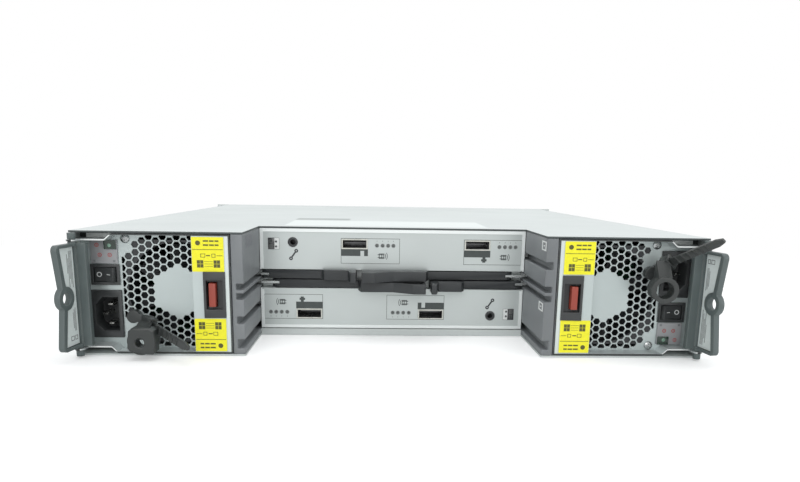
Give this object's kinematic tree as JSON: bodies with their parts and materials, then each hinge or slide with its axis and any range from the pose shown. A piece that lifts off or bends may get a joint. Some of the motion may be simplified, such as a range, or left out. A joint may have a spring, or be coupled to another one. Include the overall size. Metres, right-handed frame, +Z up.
{
  "type": "disk shelf enclosure",
  "caption": "Rack-mounted disk shelf enclosure with slide-out power supplies and I/O modules, swing handles, injector levers and cord clamps.",
  "frame": {"origin": "centre of the chassis underside", "axes": "+Z up, +Y from the service side to the drive side, +X right when the service side is faced"},
  "size_m": [0.4826, 0.5243, 0.0915],
  "materials": {
    "shelf_metal": "fine powder coat",
    "face_metal": "fine silver powder coat",
    "plated_steel": "zinc plated",
    "screw_metal": "bright plated",
    "port_metal": "nickel plated",
    "bay_plastic": "grained",
    "guide_plastic": "grained",
    "black_plastic": "fine grain",
    "strap_plastic": "satin",
    "lever_plastic": "satin",
    "handle_plastic": "grained dark green-grey",
    "plate_plastic": "smooth",
    "lamp_plastic": "smooth",
    "display_plastic": "clear over dark",
    "red_plastic": "satin",
    "board_green": "solder mask",
    "fan_plastic": "satin"
  },
  "bodies": {
    "chassis": {"chassis_pan": "shelf_metal", "top_cover": "shelf_metal", "bay_wall_left": "bay_plastic", "bay_wall_right": "bay_plastic", "rack_ear_left": "shelf_metal", "rack_ear_right": "shelf_metal", "drive_guide_lower": "guide_plastic", "drive_guide_upper": "guide_plastic", "midplane_board": "board_green", "midplane_connectors": "black_plastic"},
    "supply_left": {"psu_left_case": "plated_steel", "psu_left_face": "face_metal", "psu_left_screws": "screw_metal", "psu_left_board": "board_green", "psu_left_fan_frame": "fan_plastic", "psu_left_inlet": "black_plastic", "psu_left_switch_frame": "black_plastic", "psu_left_lamp_panel": "lamp_plastic", "psu_left_latch_housing": "black_plastic"},
    "fan_left": {"psu_left_fan_rotor": "fan_plastic"},
    "rocker_left": {"psu_left_rocker": "black_plastic"},
    "latch_left": {"psu_left_latch_tab": "red_plastic"},
    "handle_left": {"psu_left_handle": "handle_plastic", "psu_left_label_plate": "plate_plastic"},
    "strap_left": {"psu_left_strap": "strap_plastic"},
    "clamp_left": {"psu_left_clamp": "strap_plastic"},
    "supply_right": {"psu_right_case": "plated_steel", "psu_right_face": "face_metal", "psu_right_screws": "screw_metal", "psu_right_board": "board_green", "psu_right_fan_frame": "fan_plastic", "psu_right_inlet": "black_plastic", "psu_right_switch_frame": "black_plastic", "psu_right_lamp_panel": "lamp_plastic", "psu_right_latch_housing": "black_plastic"},
    "fan_right": {"psu_right_fan_rotor": "fan_plastic"},
    "rocker_right": {"psu_right_rocker": "black_plastic"},
    "latch_right": {"psu_right_latch_tab": "red_plastic"},
    "handle_right": {"psu_right_handle": "handle_plastic", "psu_right_label_plate": "plate_plastic"},
    "strap_right": {"psu_right_strap": "strap_plastic"},
    "clamp_right": {"psu_right_clamp": "strap_plastic"},
    "module_upper": {"iom_upper_canister": "plated_steel", "iom_upper_face": "face_metal", "iom_upper_ports": "port_metal", "iom_upper_jack": "black_plastic", "iom_upper_display": "display_plastic", "iom_upper_board": "board_green", "iom_upper_brackets": "plated_steel"},
    "lever_long_upper": {"iom_upper_lever_long": "lever_plastic"},
    "lever_short_upper": {"iom_upper_lever_short": "lever_plastic"},
    "module_lower": {"iom_lower_canister": "plated_steel", "iom_lower_face": "face_metal", "iom_lower_ports": "port_metal", "iom_lower_jack": "black_plastic", "iom_lower_display": "display_plastic", "iom_lower_board": "board_green", "iom_lower_brackets": "plated_steel"},
    "lever_long_lower": {"iom_lower_lever_long": "lever_plastic"},
    "lever_short_lower": {"iom_lower_lever_short": "lever_plastic"}
  },
  "joints": [
    {"name": "supply_left_slide", "type": "slide", "parent": "chassis", "child": "supply_left", "axis": [0, -1, 0], "range_m": [0, 0.25]},
    {"name": "handle_left_hinge", "type": "hinge", "parent": "supply_left", "child": "handle_left", "pos_m": [-0.2191, -0.2481, 0.04395], "axis": [0, 0, -1], "range_deg": [-7, 60]},
    {"name": "strap_left_swivel", "type": "hinge", "parent": "supply_left", "child": "strap_left", "pos_m": [-0.1861, -0.23505, 0.0265], "axis": [0, 1, 0], "range_deg": [-90, 40]},
    {"name": "clamp_left_slide", "type": "slide", "parent": "strap_left", "child": "clamp_left", "axis": [0.7575, -0.6157, -0.2172], "range_m": [0, 0.034]},
    {"name": "latch_left_press", "type": "slide", "parent": "supply_left", "child": "latch_left", "axis": [-1, 0, 0], "range_m": [0, 0.0015], "stiffness_N_per_m": 200},
    {"name": "rocker_left_tilt", "type": "hinge", "parent": "supply_left", "child": "rocker_left", "pos_m": [-0.2055, -0.2289, 0.056], "axis": [0, 0, 1], "range_deg": [0, 24]},
    {"name": "fan_left_spin", "type": "hinge", "parent": "supply_left", "child": "fan_left", "pos_m": [-0.155, -0.2175, 0.04395], "axis": [0, 1, 0], "continuous": true},
    {"name": "supply_right_slide", "type": "slide", "parent": "chassis", "child": "supply_right", "axis": [0, -1, 0], "range_m": [0, 0.25]},
    {"name": "handle_right_hinge", "type": "hinge", "parent": "supply_right", "child": "handle_right", "pos_m": [0.2191, -0.2481, 0.04395], "axis": [0, 0, 1], "range_deg": [-7, 60]},
    {"name": "strap_right_swivel", "type": "hinge", "parent": "supply_right", "child": "strap_right", "pos_m": [0.1861, -0.23505, 0.0614], "axis": [0, 1, 0], "range_deg": [-60, 90]},
    {"name": "clamp_right_slide", "type": "slide", "parent": "strap_right", "child": "clamp_right", "axis": [0.3763, -0.8192, 0.4329], "range_m": [0, 0.034]},
    {"name": "latch_right_press", "type": "slide", "parent": "supply_right", "child": "latch_right", "axis": [1, 0, 0], "range_m": [0, 0.0015], "stiffness_N_per_m": 200},
    {"name": "rocker_right_tilt", "type": "hinge", "parent": "supply_right", "child": "rocker_right", "pos_m": [0.2055, -0.2289, 0.0319], "axis": [0, 0, -1], "range_deg": [0, 24]},
    {"name": "fan_right_spin", "type": "hinge", "parent": "supply_right", "child": "fan_right", "pos_m": [0.155, -0.2175, 0.04395], "axis": [0, 1, 0], "continuous": true},
    {"name": "module_upper_slide", "type": "slide", "parent": "chassis", "child": "module_upper", "axis": [0, -1, 0], "range_m": [0, 0.2]},
    {"name": "lever_long_upper_hinge", "type": "hinge", "parent": "module_upper", "child": "lever_long_upper", "pos_m": [0.0924, -0.1751, 0.05], "axis": [0, 0, 1], "range_deg": [0, 60]},
    {"name": "lever_short_upper_hinge", "type": "hinge", "parent": "module_upper", "child": "lever_short_upper", "pos_m": [-0.1006, -0.1751, 0.05], "axis": [0, 0, -1], "range_deg": [0, 60]},
    {"name": "module_lower_slide", "type": "slide", "parent": "chassis", "child": "module_lower", "axis": [0, -1, 0], "range_m": [0, 0.2]},
    {"name": "lever_long_lower_hinge", "type": "hinge", "parent": "module_lower", "child": "lever_long_lower", "pos_m": [-0.0924, -0.1751, 0.0427], "axis": [0, 0, -1], "range_deg": [0, 60]},
    {"name": "lever_short_lower_hinge", "type": "hinge", "parent": "module_lower", "child": "lever_short_lower", "pos_m": [0.1006, -0.1751, 0.0427], "axis": [0, 0, 1], "range_deg": [0, 60]}
  ]
}
